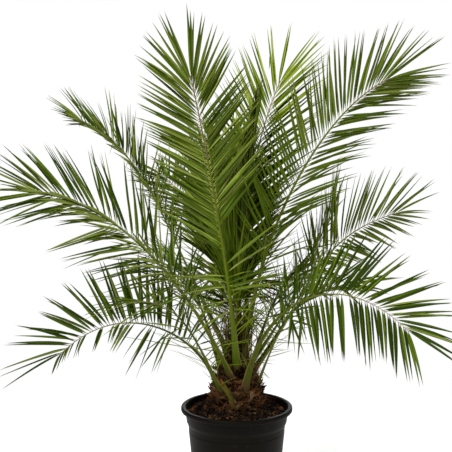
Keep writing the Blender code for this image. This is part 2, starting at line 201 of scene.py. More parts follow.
# What a frond has where FRONDS names nothing else
FROND_USUAL = dict(
    hold=(0.42, 0.40),  # how long the curve keeps its slope at the seat and at the tip
    start=0.30,  # place on the rib of the first leaflets
    # This light picks the leaflets' lighter or darker tones and the stalk's paint: painted light and painted
    # shade.
    light=0.4,  # 0 for a frond in the shade, 1 for one in the light
    lift=14,  # degrees that its rows stand up from flat
    angles=LEAFLET_ANGLE,  # leaflet to rib, along the blade
    spread=1.0,  # factor on that angle
    stout=1.0,  # factor on the rib's width
    slender=0.0,  # share of its width that the rib loses by its tip
    slim=1.0,  # factor on the leaflets' width
    dense=1.0,  # factor on their number
    early=0.0,  # how much longer the first ones are
    messy=0.42,  # the leaflets up to this share of the blade point every way
    bunch=1.6,  # degrees that a leaflet leans towards its group for each place in it
    ranks=1.0,  # factor on how far a group stands off its row
    mantle=0.0,  # share of the leaflets that have a short one beside them
    # The lightest tones below that place are painted light.
    lit_below=0.0,  # leaflets below this place on the rib have the lightest tones
    gappy={},  # by row: up to which place on the rib, and what share of leaflets is missing
    lower=None,  # how the row that hangs below a rolled frond differs
    parted=False,  # whether its solid is split at the bend
)
LOWER_USUAL = dict(spread=1.0, longer=1.0, pull=0.0, bare=0.0, starts=0.0)

# The solids' own curves: seat and tip are azimuth, radius, height and slope.
FRONDS = {
    "frond_front_upright": dict(
        seat=(-92, 0.039, 0.385, 35), tip=(-116, 0.26, 1.155, 68), hold=(0.46, 0.51),
        roll=30, leaf=0.203, start=0.28, light=1.0, stout=1.1, angles=CLOSING_ANGLE, spread=0.93,
        dense=1.22, messy=0.3, bunch=1.2, gappy={1: (0.60, 0.80), -1: (0.56, 0.68)}),
    "frond_back_upright": dict(
        seat=(56, 0.026, 0.400, 76), tip=(52, 0.193, 1.137, 55), hold=(0.39, 0.49),
        roll=25, leaf=0.23, light=1.0, slim=0.8),
    "frond_right_high": dict(
        seat=(-40, 0.020, 0.390, 83), tip=(0, 0.395, 1.145, 24), hold=(0.47, 0.20),
        roll=-66, leaf=0.205, start=0.22, light=1.0, lift=12, slim=0.84,
        early=0.6, messy=0.12, bunch=2.6, lit_below=0.55),
    "frond_right_mid": dict(
        seat=(34, 0.049, 0.352, 46), tip=(30, 0.53, 0.76, 10), hold=(0.49, 0.45),
        roll=-75, leaf=0.2, start=0.36, light=1.0, lift=16, stout=0.85, slim=0.92,
        messy=0.3, bunch=2.6, lower=dict(lift=12, longer=0.95, wider=0.8, uneven=0.1)),
    "frond_right_low": dict(
        seat=(-66, 0.055, 0.333, 70), tip=(-38, 0.52, 0.547, -38), hold=(0.53, 0.49), parted=True,
        roll=-85, leaf=0.195, start=0.33, light=0.0, lift=10, spread=1.15, stout=1.1, slender=0.6,
        bunch=3.8, lower=dict(lift=10, spread=1.5, wider=1.1, pull=1.0, bare=0.08, uneven=0.3, starts=0.1)),
    "frond_left_low": dict(
        seat=(-165, 0.056, 0.325, 80), tip=(-148, 0.515, 0.477, -38), hold=(0.24, 0.52), parted=True,
        roll=48, leaf=0.2, start=0.34, light=0.15, lift=34, spread=1.35, stout=0.8, slim=1.05, bunch=3.6,
        lower=dict(
            lift=-5, spread=1.3, longer=0.9, wider=0.95, pull=0.6, bare=0.55, uneven=0.72, starts=0.06)),
    "frond_left_mid": dict(
        seat=(-108, 0.047, 0.366, 42), tip=(-165, 0.53, 0.864, 9), hold=(0.50, 0.36),
        roll=50, leaf=0.2, start=0.32, light=0.2, lift=24, spread=0.9, slim=0.92, early=0.3,
        bunch=2.6, ranks=3.0, mantle=0.6,
        lower=dict(lift=-10, spread=0.9, longer=1.08, wider=0.8, uneven=0.1)),
    "frond_left_high": dict(
        seat=(119, 0.032, 0.392, 38), tip=(146, 0.545, 1.022, 14), hold=(0.63, 0.30),
        roll=44, leaf=0.156, start=0.32, light=0.7, lift=34, stout=0.8, slim=0.9, ranks=3.0, mantle=0.6),
    "frond_rear_left": dict(
        seat=(92, 0.042, 0.378, 60), tip=(116, 0.50, 0.85, 15), hold=(0.45, 0.40),
        roll=-20, leaf=0.170, stout=0.85, slim=0.66),
    "frond_rear_right": dict(
        seat=(22, 0.038, 0.380, 46), tip=(50, 0.45, 0.775, 64), hold=(0.22, 0.18),
        roll=-70, leaf=0.15, light=1.0, stout=0.75, slim=0.6, messy=1.0, lit_below=0.6),
    "frond_rear_low": dict(
        seat=(84, 0.058, 0.333, 66), tip=(90, 0.54, 0.62, -22), parted=True,
        roll=10, leaf=0.185, stout=0.85, slim=0.8),
    "frond_rear_right_low": dict(
        seat=(56, 0.056, 0.330, 62), tip=(66, 0.55, 0.50, -34), hold=(0.42, 0.42), parted=True,
        roll=-30, leaf=0.175, stout=0.8, slim=0.8),
    "frond_rear_left_low": dict(
        seat=(128, 0.056, 0.330, 62), tip=(114, 0.55, 0.54, -28), hold=(0.42, 0.42), parted=True,
        roll=30, leaf=0.175, stout=0.8, slim=0.8),
    "frond_left_inner": dict(
        seat=(-130, 0.062, 0.320, 56), tip=(-139, 0.35, 0.60, 0),
        roll=40, leaf=0.165, start=0.34, stout=0.7, slim=0.85, dense=0.6, messy=3),
    "frond_right_inner": dict(
        seat=(-20, 0.056, 0.328, 70), tip=(0, 0.30, 0.60, 0),
        roll=-40, leaf=0.165, start=0.34, stout=0.55, dense=0.8, messy=2),
    "frond_rear_inner": dict(
        seat=(120, 0.016, 0.405, 82), tip=(98, 0.20, 0.90, 60),
        roll=0, leaf=0.22, start=0.2, light=0.6, lift=16, stout=0.7, slim=1.1, dense=2.6),
    "frond_spear_tall": dict(
        seat=(-100, 0.009, 0.404, 88), tip=(-20, 0.04, 0.93, 82),
        roll=0, leaf=0.26, start=0.25, light=0.7, lift=10, spread=0.4, stout=0.55,
        slim=1.2, dense=3.2, lit_below=0.5),
    "frond_spear_short": dict(
        seat=(60, 0.007, 0.404, 86), tip=(170, 0.06, 0.82, 80),
        roll=40, leaf=0.26, start=0.25, light=0.7, lift=10, spread=0.4, stout=0.55,
        slim=1.2, dense=3.2, lit_below=0.8),
}

# Fibre and litter: ranges and the odds of each tone
HAIR_CURL = 0.35
HAIR_TAPER = 0.75
FIBRE_HEIGHTS = (0.004, 0.125)
FIBRE_DEPTHS = (-0.002, 0.006)
FIBRE_AIM = (55, 42, 30)  # sideways spread, mean rise and its spread
FIBRE_LENGTHS = (0.010, 0.034)
FIBRE_LONGER = 0.4
FIBRE_RADII = (0.0003, 0.0008)
FIBRE_ODDS = (3, 4, 3, 1)
STRAP_DEPTHS = (0.004, 0.034)
STRAP_HEIGHTS = (0.08, 0.12)
STRAP_AIM = (30, 85, 3)
STRAP_LENGTHS = (0.08, 0.26)
STRAP_RADII = (0.0012, 0.0028)
STRAP_LIMP, STRAP_STEPS = 0.01, 7
STRAP_ODDS = (2, 2, 1, 1.5, 6)
CHIP_RADII = (0.056, SOIL_EDGE_R - 0.006)
CHIP_SIZES = (0.003, 0.013, 2.2)  # smallest, what the largest adds, and how rare that is
CHIP_LIFT = 0.22
CHIP_WIDTHS = (0.22, 0.5)
CHIP_THICK = (0.10, 0.22)
CHIP_TILTS = (28, 0.7)  # degrees along it and radians about it
CHIP_UNEVEN = dict(length=(0.85, 1.1), width=(0.75, 1.15), thick=(0.7, 1.2))
CHIP_OUTLINE = ((-0.5, 0.45), (-0.2, 0.95), (0.2, 1.0), (0.5, 0.5))
CHIP_ODDS = (7, 4, 1.2, 0.5)
CHIPS_TO_ROOTLET = 5
ROOTLET_RADII = (0.058, SOIL_EDGE_R - 0.012)
ROOTLET_LENGTHS = (0.010, 0.030)
ROOTLET_THICK = (0.0003, 0.0007)
ROOTLET_RISE = (0, 35)
ROOTLET_LIMP = 0.45
ROOTLET_TONES = (2, 3)

# Relief of the bed: scale and height
CLODS = (55, 0.0032)
CLOD_FRACTAL = (0.9, 2.1, 4)
CRUMBS = (260, 0.0014)
BED_SUNK = 0.0015
BED_CALM = 0.004  # the relief fades out over this much at the pot's wall
BED_ROWS = 56
BED_SIDES = 200
POT_SIDES = 160

# Where each run of random draws starts
SEED_TRUNK, SEED_FIBRE, SEED_LITTER, SEED_SPINES, SEED_LEAFLETS = 5, 11, 23, 300, 700

# Camera, lights and floor
CAMERA_AT = (-0.0288, -3.1396, 1.189)
CAMERA_PITCH = 82.2
CAMERA_LENS = 95.58
LIGHTS = (  # name, place, size and power
    ("key_light", (-1.5, -2.0, 3.4), 1.6, 185),
    ("fill_light", (2.6, -1.6, 1.9), 1.6, 40),
    ("back_light", (0.5, 2.9, 1.6), 2.6, 55),
)
LIGHT_AIM = (0, 0, 0.6)
ROOM_LIGHT, BACKDROP = 0.24, 1.0
FLOOR_PROFILE = ((0.0, 0.0), (0.52, 0.0), (1.3, -0.001), (0.0, -0.01))
FLOOR_SIDES = 96


def along(table, x):
    """Value at x of a short table of (x, value) pairs, straight between them."""
    return float(np.interp(x, [pair[0] for pair in table], [pair[1] for pair in table]))


def between(pair, share):
    return pair[0] + (pair[1] - pair[0]) * share


def direction(azimuth, rise):
    a, e = math.radians(azimuth), math.radians(rise)
    return Vector((math.cos(e) * math.cos(a), math.cos(e) * math.sin(a), math.sin(e)))


def on_circle(azimuth, radius, height):
    return direction(azimuth, 0) * radius + Vector((0, 0, height))


# Shader maths


class Link:
    """A node's output that arithmetic adds Math nodes to."""

    def __init__(self, paint, socket):
        self.paint = paint
        self.socket = socket

    def math(self, operation, first, second):
        settings = {"operation": operation}
        return self.paint.node("ShaderNodeMath", settings, {0: first, 1: second})

    def __add__(self, other):
        return self.math("ADD", self, other)

    def __radd__(self, other):
        return self.math("ADD", other, self)

    def __sub__(self, other):
        return self.math("SUBTRACT", self, other)

    def __rsub__(self, other):
        return self.math("SUBTRACT", other, self)

    def __mul__(self, other):
        return self.math("MULTIPLY", self, other)

    def __rmul__(self, other):
        return self.math("MULTIPLY", other, self)


class Paint:
    """One material's nodes. Constants are set on the shader's own sockets."""

    def __init__(self, name, **constants):
        self.material = bpy.data.materials.new(name)
        self.material.use_nodes = True
        self.tree = self.material.node_tree
        self.shader = self.tree.nodes["Principled BSDF"]
        for key, value in constants.items():
            self.shader.inputs[socket_name(key)].default_value = value

    def node(self, kind, settings=None, sockets=None, output=0):
        node = self.tree.nodes.new(kind)
        for key, value in (settings or {}).items():
            if key == "stops":
                set_stops(node.color_ramp, value)
            else:
                setattr(node, key, value)
        for key, value in (sockets or {}).items():
            self.feed(node.inputs[key], value)
        return Link(self, node.outputs[output])

    def feed(self, socket, value):
        if isinstance(value, Link):
            self.tree.links.new(value.socket, socket)
        else:
            socket.default_value = value

    def surface(self, **links):
        for key, value in links.items():
            self.feed(self.shader.inputs[socket_name(key)], value)
        return self.material

    def place(self):
        """Object coordinates, in metres."""
        return self.node("ShaderNodeTexCoord", output="Object")

    def noise(self, scale, detail=3.0, vector=None):
        sockets = {"Scale": scale, "Detail": detail, "Vector": vector or self.place()}
        return self.node("ShaderNodeTexNoise", None, sockets, "Fac")

    def stretched(self, vector, scale):
        settings = {"operation": "MULTIPLY"}
        return self.node("ShaderNodeVectorMath", settings, {0: vector, 1: scale})

    def blend(self, factor, first, second):
        settings = {"data_type": "RGBA"}
        first, second = (as_color(value) for value in (first, second))
        return self.node("ShaderNodeMix", settings, {0: factor, 6: first, 7: second}, 2)

    def ramp(self, factor, stops):
        stops = [(place, as_color(value)) for place, value in stops]
        return self.node("ShaderNodeValToRGB", {"stops": stops}, {"Fac": factor}, "Color")

    def step(self, value, low, high):
        """0 below low and 1 above high."""
        settings = {"interpolation_type": "SMOOTHSTEP"}
        sockets = {"Value": value, "From Min": low, "From Max": high}
        return self.node("ShaderNodeMapRange", settings, sockets, "Result")

    def bump(self, height, strength, distance):
        sockets = {"Height": height, "Strength": strength, "Distance": distance}
        return self.node("ShaderNodeBump", None, sockets, "Normal")


def socket_name(key):
    return key.replace("_", " ").title().replace("Ior", "IOR")


def set_stops(ramp, stops):
    while len(ramp.elements) < len(stops):
        ramp.elements.new(1.0)
    for element, (place, color) in zip(ramp.elements, stops):
        element.position = place
        element.color = color


def as_color(value):
    """Four channels from three; links pass through."""
    if isinstance(value, Link) or len(value) == 4:
        return value
    return (*value, 1.0)


def dimmed(color, factor):
    return tuple(min(1.0, channel * factor) for channel in color)


# Meshes


class Sheaf:
    """Points, faces and tones of many small forms that are joined in one piece."""

    def __init__(self):
        self.points = []
        self.faces = []
        self.tones = []
        self.places = []

    def add_face(self, corners, tone):
        self.faces.append(corners)
        self.tones.append(tone)

    def add_points(self, points):
        first = len(self.points)
        self.points.extend(points)
        return list(range(first, len(self.points)))

    def loft(self, rings, tone, tip=None):
        """Skins rings that turn left about the way they run. tone(stretch, side) colours a face."""
        rows = [self.add_points(ring) for ring in rings]
        count = len(rows[0])
        self.add_face(rows[0][::-1], tone(0, 0))
        for stretch, (low, high) in enumerate(zip(rows, rows[1:])):
            for i in range(count):
                j = (i + 1) % count
                self.add_face((low[i], low[j], high[j], high[i]), tone(stretch, i))
        last = rows[-1]
        if tip is None:
            self.add_face(last, tone(len(rows) - 2, 0))
            return
        point = self.add_points([tip])[0]
        for i in range(count):
            self.add_face((last[i], last[(i + 1) % count], point), tone(len(rows) - 1, i))

    def lathe(self, profile, sides, relief=None):
        """Turned form from (radius, height) that runs from the top's axis down its outer side."""
        rows = []
        for radius, height in profile:
            count = sides if radius > 0 else 1
            ring = [on_circle(360 * k / sides, radius, height) for k in range(count)]
            rows.append(self.add_points([relief(point) for point in ring] if relief else ring))
        for upper, lower in zip(rows, rows[1:]):
            for k in range(sides):
                n = (k + 1) % sides
                corners = [lower[k % len(lower)], lower[n % len(lower)]]
                corners += [upper[n % len(upper)], upper[k % len(upper)]]
                self.add_face(tuple(dict.fromkeys(corners)), 0)

    def mesh(self, name, materials):
        mesh = bpy.data.meshes.new(name)
        mesh.from_pydata([tuple(point) for point in self.points], [], self.faces)
        for material in materials:
            mesh.materials.append(material)
        return mesh

    def piece(self, name, materials, slot, nodes=(), sharp=35):
        """The joined mesh as one object that rides on the plant and stands for the nodes."""
        mesh = self.mesh(name, materials)
        mesh.polygons.foreach_set("material_index", self.tones)
        mesh.shade_smooth()
        mesh.set_sharp_from_angle(angle=math.radians(sharp))
        if self.places:
            layer = mesh.attributes.new("rib_place", "FLOAT_VECTOR", "POINT")
            layer.data.foreach_set("vector", [number for place in self.places for number in place])
        obj = bpy.data.objects.new(name, mesh)
        bpy.context.scene.collection.objects.link(obj)
        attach(obj, BODY)
        if nodes:
            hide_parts(*nodes)
        return obj


class Rib:
    """A frond's rib: a Bezier curve with a frame that the leaflets are set in."""

    def __init__(self, name, spec):
        self.name = name
        self.spec = {**FROND_USUAL, **spec}
        if self.spec["lower"]:
            self.spec["lower"] = {**LOWER_USUAL, **self.spec["lower"]}
        azimuth, radius, height, rise = spec["seat"]
        tip_azimuth, reach, tip_height, slope = spec["tip"]
        seat = on_circle(azimuth, radius, height)
        tip = on_circle(tip_azimuth, reach, tip_height)
        chord = tip - seat
        plane = math.degrees(math.atan2(chord.y, chord.x))
        hold_seat, hold_tip = (hold * chord.length for hold in self.spec["hold"])
        self.knots = (
            seat,
            seat + direction(azimuth, rise) * hold_seat,
            tip - direction(plane, slope) * hold_tip,
            tip,
        )
        self.level_side = direction(plane + 90, 0)

    def point(self, t):
        a, b, c, d = self.knots
        s = 1 - t
        return a * s**3 + b * (3 * s * s * t) + c * (3 * s * t * t) + d * t**3

    def velocity(self, t):
        a, b, c, d = self.knots
        s = 1 - t
        return ((b - a) * s * s + (c - b) * (2 * s * t) + (d - c) * t * t) * 3

    def frame(self, t):
        """Point, tangent, side and face directions at t, with the frond's roll."""
        tangent = self.velocity(t).normalized()
        side = (self.level_side - tangent * self.level_side.dot(tangent)).normalized()
        face = tangent.cross(side)
        x = min(1.0, max(0.0, (t - ROLL_FROM) / (ROLL_TO - ROLL_FROM)))
        roll = math.radians(self.spec["roll"]) * x * x * (3 - 2 * x)
        side = side * math.cos(roll) + face * math.sin(roll)
        return self.point(t), tangent, side, tangent.cross(side)

    def half_width(self, t):
        return along(RIB_HALF_WIDTH, t) * self.spec["stout"] * (1 - self.spec["slender"] * t)

    def length(self, start, end, steps=40):
        points = [self.point(start + (end - start) * i / steps) for i in range(steps + 1)]
        return sum((b - a).length for a, b in zip(points, points[1:]))

    def nodes(self):
        if self.spec["parted"]:
            return [self.name + "_stalk", self.name + "_blade"]
        return [self.name]

    def ring(self, t, back=0.0, flare=1.0):
        """Points round the rib: nearly flat above, keeled below."""
        point, tangent, side, face = self.frame(t)
        half = self.half_width(t) * flare
        middle = point - tangent * back
        ring = []
        for k in range(RIB_SIDES):
            turn = 2 * math.pi * k / RIB_SIDES
            rise = math.sin(turn)
            swell = RIB_SWELL * rise if rise > 0 else -RIB_KEEL * abs(rise) ** RIB_KEEL_POWER
            height = RIB_CROWN + swell
            ring.append(middle + side * (half * math.cos(turn)) + face * (half * height))
        return ring


def ribs():
    return [Rib(name, spec) for name, spec in FRONDS.items()]


def rib_form(rib):
    """The rib from inside the trunk to its tip, with each point's place on it."""
    sheaf = Sheaf()
    root_flare = max(1.0, rib.spec["stout"] * RIB_ROOT_FLARE)
    rings = [rib.ring(0.0, RIB_ROOT, root_flare), rib.ring(0.0, RIB_ROOT / 2, root_flare)]
    shares = [0.0, 0.0]
    for i in range(RIB_STEPS + 1):
        shares.append(i / RIB_STEPS)
        rings.append(rib.ring(i / RIB_STEPS))
    sheaf.loft(rings, lambda stretch, side: 0)
    for share in shares:
        for k in range(RIB_SIDES):
            edge = abs(math.cos(2 * math.pi * k / RIB_SIDES)) ** RIB_EDGE_POWER
            sheaf.places.append((share, k / RIB_SIDES, edge))
    return sheaf


class Leaflet:
    """How one leaflet grows: its heading, length, width and the ways it bends."""

    def __init__(self, rng, rib, place, share, sign, order, group, sizes):
        spec = rib.spec
        lean, fan, full = group
        self.point, tangent, side, face = rib.frame(place)
        mess = max(0.0, 1 - share / spec["messy"])
        fan = fan * spec["ranks"] * (1 - mess) + rng.gauss(0, FAN_MESS) * mess
        lift, spread, wider = spec["lift"], spec["spread"], spec["slim"]
        longer, pull, widest = 1.0, 0.0, LEAFLET_WIDEST_ANGLE
        if is_lower(spec, sign):
            row = spec["lower"]
            lift, wider, pull = row["lift"], row["wider"], row["pull"]
            longer = row["longer"] * (1 - row["uneven"] * (1 - full))
            spread = row["spread"] * (1 + LOWER_OPENS * (1 - share))
            widest = LOWER_WIDEST_ANGLE
        pace, offset = GROUP_PACE
        swing = noise.noise(Vector((order * pace, offset * sign, spec["roll"])))
        angle = min(widest, spread * along(spec["angles"], share)) + GROUP_SWING * swing
        angle += lean * (1 - mess) + rng.gauss(0, ANGLE_VARIES + ANGLE_MESS * mess)
        lift += fan + rng.gauss(0, LIFT_VARIES)
        angle, lift = math.radians(angle), math.radians(lift)
        outward = side * (sign * math.cos(lift)) + face * math.sin(lift)
        heading = tangent * math.cos(angle) + outward * math.sin(angle)
        self.heading = (heading + DOWN * pull).normalized()
        self.across = self.heading.cross(face).normalized()
        self.point = self.point + outward * (rib.half_width(place) * INSIDE)
        self.length = spec["leaf"] * along(LEAFLET_LENGTH, share) * longer
        self.length *= 1 + spec["early"] * (1 - share) ** EARLY_POWER
        shortest, longest = LENGTH_VARIES
        self.length *= rng.uniform(shortest - LENGTH_MESS * mess, longest)
        self.half = sizes.leaflet_width / 2 * wider * rng.uniform(*WIDTH_VARIES) * (1 - WIDTH_MESS * mess)
        self.droop = sizes.leaflet_droop * rng.uniform(*DROOP_VARIES) + mess * rng.uniform(0, DROOP_MESS)
        self.sway = rng.gauss(0, BOW_VARIES + BOW_MESS * mess)
        self.bow = rng.gauss(BOW, BOW_VARIES + BOW_MESS * mess)
        self.twist = math.radians(rng.gauss(0, TWIST_VARIES + TWIST_MESS * mess))
        self.turn = math.radians(rng.gauss(0, TURN_VARIES + TURN_MESS * mess))
        self.kink = rng.uniform(*KINK_AT) if rng.random() < sizes.kinked_share else None

    def centre(self, s):
        up = self.across.cross(self.heading)
        level = math.hypot(self.heading.x, self.heading.y)
        spot = self.point + self.heading * (self.length * s)
        spot += (self.across * self.sway + up * self.bow) * (self.length * (s - s * s))
        spot += DOWN * (self.droop * self.length * level * s * s)
        if self.kink is not None and s > self.kink:
            bent = (s - self.kink) * self.length * min(1.0, (s - self.kink) / KINK_ROUND)
            spot += DOWN * (bent * KINK_DOWN) - self.heading * (bent * KINK_BACK)
        return spot

    def ring(self, s, share):
        """Fold above, right edge, fold below and left edge."""
        turn = self.twist + self.turn * s
        across = Matrix.Rotation(turn, 3, self.heading) @ self.across
        up = across.cross(self.heading)
        half = self.half * share
        fold = math.radians(LEAFLET_FOLD * (1 - LEAFLET_OPENS * s))
        centre = self.centre(s)
        reach, rise = across * (half * math.cos(fold)), up * (half * math.sin(fold))
        thick = LEAFLET_THICK * (1 - LEAFLET_THINS * s)
        return centre, centre + reach + rise, centre - up * thick, centre - reach + rise


def tones_of(rng, light):
    """Tones of a leaflet's faces: upper right, lower right, lower left and upper left."""
    # Fronds in the light get more of the lighter pairs and fronds in the shade more of the darker ones:
    # painted light and painted shade.
    shade = 1 - light
    upper = rng.choices(GREEN_PAIRS, (1.4 * light, 0.4 + 0.6 * light, 1.6 * shade, 0.4 * light))[0]
    lower = rng.choices(UNDER_PAIRS, (light, 0.2 + 0.7 * light, 1.0, 2.2 * shade))[0]
    if rng.random() < SWAPPED_SHARE:
        upper, lower = upper[::-1], lower[::-1]
    return upper[0], lower[1], lower[0], upper[1]


def add_leaflet(sheaf, leaflet, tones, foot, dry_tip):
    rings = [leaflet.ring(s, share) for s, share in LEAFLET_OUTLINE]
    last = len(rings) - 1

    def tone(stretch, side):
        if stretch == 0:
            return foot
        if stretch == last and dry_tip:
            return DRY
        return tones[side]

    sheaf.loft(rings, tone, leaflet.centre(1.0))


def is_lower(spec, sign):
    """Whether this row of leaflets is the one that hangs below a rolled frond."""
    return bool(spec["lower"]) and sign * spec["roll"] < 0


def loose_groups(rng, count, pull, bare):
    """A row's leaflets: lean to the group's middle, its rise and fullness, or None for a gap."""
    row = []
    while len(row) < count:
        size = rng.choice(GROUP_SIZES)
        rise = rng.choice(GROUP_RISES)
        missing, full = rng.random() < bare, rng.random()
        for k in range(size):
            row.append(None if missing else (pull * (k - (size - 1) / 2), rise, full))
    return row


def blade_form(rib, sizes, seed):
    """Every leaflet of a frond: two rows, in loose groups of their own."""
    rng = random.Random(seed)
    sheaf = Sheaf()
    spec = rib.spec
    start = spec["start"]
    pairs = round(rib.length(start, 1.0) / sizes.leaflet_pitch * spec["dense"])
    rows = {}
    for sign, _ in STAGGER:
        bare = spec["lower"]["bare"] if is_lower(spec, sign) else 0.0
        rows[sign] = loose_groups(rng, pairs, spec["bunch"], bare)
    for i in range(pairs):
        for sign, stagger in STAGGER:
            if rows[sign][i] is None:
                continue
            closing = PAIRING if i % 2 else -PAIRING
            share = min(1.0, max(0.0, (i + stagger - closing) / pairs))
            share = 1 - (1 - share) ** CROWDING
            place = start + (1 - start) * share
            if is_lower(spec, sign) and share < spec["lower"]["starts"]:
                continue
            gaps_to, gap_share = spec["gappy"].get(sign, (0.0, 0.0))
            if place < gaps_to and rng.random() < gap_share:
                continue
            leaflet = Leaflet(rng, rib, place, share, sign, i, rows[sign][i], sizes)
            tones = tones_of(rng, spec["light"])
            # Painted light: leaflets low on these ribs take the lightest tones.
            if place < spec["lit_below"]:
                tones = LIT_TONES
            if rng.random() < sizes.dead_share:
                tones = (DRY,) * 4
            foot = STRAW if place > STRAW_FROM else PALE_AND_SHEEN if place > PALE_FROM else tones[0]
            add_leaflet(sheaf, leaflet, tones, foot, rng.random() < sizes.dry_tip_share)
            if rng.random() < spec["mantle"]:
                leaflet = Leaflet(rng, rib, place, share, sign, i, MANTLE_GROUP, sizes)
                leaflet.length *= rng.uniform(*MANTLE_LENGTHS)
                add_leaflet(sheaf, leaflet, MANTLE_TONES, tones[0], False)
    return sheaf


def add_hair(sheaf, rng, root, heading, length, radius, tone, limp=0.3, steps=4):
    """A thin tapered strand of three sides that curls and hangs a little."""
    side = heading.orthogonal().normalized()
    other = heading.cross(side)
    turn = rng.uniform(0, 2 * math.pi)
    curl = (side * math.cos(turn) + other * math.sin(turn)) * rng.gauss(0, HAIR_CURL)

    def centre(s):
        spot = root + heading * (length * s) + curl * (length * s * s)
        return spot + DOWN * (limp * length * s * s)

    turns = [math.radians(90 + 120 * k) for k in range(3)]
    rings = []
    for i in range(steps):
        s = i / steps
        thin = radius * (1 - HAIR_TAPER * s)
        middle = centre(s)
        rings.append([middle + side * (thin * math.cos(a)) + other * (thin * math.sin(a)) for a in turns])
    sheaf.loft(rings, lambda stretch, face: tone, centre(1.0))


def add_spines(sheaf, rib, sizes, seed):
    """Stiff narrow leaflets on both sides of the stalk, longer towards the blade."""
    rng = random.Random(seed)
    start = rib.spec["start"]
    count = round(rib.length(0.0, start) / sizes.spine_pitch)
    for i in range(count):
        for sign in (1, -1):
            share = (i + rng.random()) / count
            place = SPINE_FROM + (start - SPINE_FROM) * share
            point, tangent, side, face = rib.frame(place)
            lift = math.radians(rng.gauss(*SPINE_LIFT))
            angle = math.radians(rng.uniform(*SPINE_ANGLES))
            outward = side * (sign * math.cos(lift)) + face * math.sin(lift)
            heading = (tangent * math.cos(angle) + outward * math.sin(angle)).normalized()
            root = point + side * (sign * rib.half_width(place) * INSIDE)
            length = sizes.spine_length * between(SPINE_LENGTHS, share) * rng.uniform(*SPINE_VARIES)
            wide = sizes.spine_width / 2 * between(SPINE_WIDTHS, share)
            across = heading.cross(face).normalized()
            up = across.cross(heading)
            bow = rng.gauss(0.0, SPINE_BOW)
            droop = rng.uniform(*SPINE_DROOP)

            def centre(s):
                spot = root + heading * (length * s) + (up + across) * (bow * length * (s - s * s))
                return spot + DOWN * (droop * length * s * s)

            rings = []
            for s, size in SPINE_OUTLINE:
                middle, half = centre(s), wide * size
                reach, rise = across * half, up * (half * SPINE_THICK)
                rings.append([middle + rise, middle + reach, middle - rise, middle - reach])
            tone, last = rng.choice(SPINE_TONES), len(rings) - 1
            sheaf.loft(rings, lambda stretch, k: SPINE_TIP if stretch == last else tone, centre(1.0))


# Trunk


def trunk_radius(height):
    """Radius at a height above the trunk's foot."""
    return along(TRUNK_PROFILE[::-1], height)


def rough(point, amount, scale):
    """The point moved out from the axis by a noise of this scale."""
    spot = Vector(point)
    shift = noise.fractal(spot * scale, *TRUNK_FRACTAL)
    out = Vector((spot.x, spot.y, 0))
    if out.length > 0:
        out.normalize()
    return spot + out * (shift * amount)


def add_boot(sheaf, rng, azimuth, height, length, half, thick, rise, tone, lean=0.0):
    """A cut leaf base: a crescent plate that stands off the trunk and ends in a torn edge."""
    heading_strays, side_strays = BOOT_STRAY
    heading = direction(azimuth + lean + rng.gauss(0, heading_strays), rise)
    side = direction(azimuth + 90 + rng.gauss(0, side_strays), rng.gauss(0, side_strays))
    outer = side.cross(heading).normalized()
    root = on_circle(azimuth, trunk_radius(height), TRUNK_FOOT_Z + height)
    rings = []
    steps = [(-BOOT_SUNK, BOOT_ROOT_SIZE)]
    steps += [(length * share, size) for share, size in BOOT_OUTLINE]
    for distance, size in steps:
        ring = []
        for k in range(BOOT_SIDES):
            turn = 2 * math.pi * k / BOOT_SIDES
            x, y = math.cos(turn), math.sin(turn)
            bend = -BOOT_HOLLOW * x * x * thick
            wobble = 1 + rng.gauss(0, BOOT_UNEVEN)
            spot = root + heading * distance + side * (half * size * x * wobble)
            ring.append(spot + outer * (thick * size * y * BOOT_FLAT * wobble + bend))
        rings.append(ring)
    torn = []
    centre = root + heading * steps[-1][0]
    for spot in rings[-1]:
        pull = rng.uniform(*BOOT_TORN_PULL) * length
        torn.append(centre + (spot - centre) * rng.uniform(*BOOT_TORN_SIZE) + heading * pull)
    rings.append(torn)
    core_at, core_size = BOOT_CORE
    inner = root + heading * (length * core_at)
    rings.append([inner + (spot - inner) * core_size for spot in torn])
    sheaf.loft(rings, lambda stretch, k: BOOT_TORN_TONE if stretch >= BOOT_TORN_FROM else tone)


def trunk_form(sizes):
    """The stem, the cut leaf bases round it, the torn flaps between them and one old stalk's foot."""
    sheaf = Sheaf()
    rng = random.Random(SEED_TRUNK)
    top = TRUNK_PROFILE[0][0]
    profile = [(0.0, TRUNK_FOOT_Z + top)]
    for i in range(TRUNK_ROWS + 1):
        height = top * (1 - i / TRUNK_ROWS)
        profile.append((trunk_radius(height), TRUNK_FOOT_Z + height))
    profile.append((0.0, TRUNK_FOOT_Z))
    sheaf.lathe(profile, TRUNK_SIDES, lambda point: rough(point, *TRUNK_RELIEF))
    for index in range(STUB_COUNT):
        share = index / (STUB_COUNT - 1)
        length = between(STUB_LENGTHS, share) * between(STUB_VARIES, index * GOLDEN_SHARE % 1)
        add_boot(sheaf, rng, index * GOLDEN_ANGLE, between(STUB_HEIGHTS, share), length,
                 STUB_HALF_WIDTH, STUB_THICK, between(STUB_RISE, share), rng.choice(STUB_TONES))
    lowest, climb = FLAP_HEIGHTS
    for index in range(sizes.flap_count):
        height = lowest + climb * index / sizes.flap_count
        add_boot(sheaf, rng, index * GOLDEN_ANGLE + FLAP_TURN, height,
                 rng.uniform(*FLAP_LENGTHS), rng.uniform(*FLAP_HALF_WIDTHS), rng.uniform(*FLAP_THICK),
                 rng.uniform(*FLAP_RISE), rng.choice(FLAP_TONES), rng.gauss(0, FLAP_LEAN))
    add_boot(sheaf, rng, **STUMP)
    return sheaf


def aim(rng, azimuth, spreads):
    """A direction near the azimuth, from its sideways spread, mean rise and that rise's spread."""
    sideways, rise, varies = spreads
    return direction(azimuth + rng.gauss(0, sideways), rng.gauss(rise, varies))


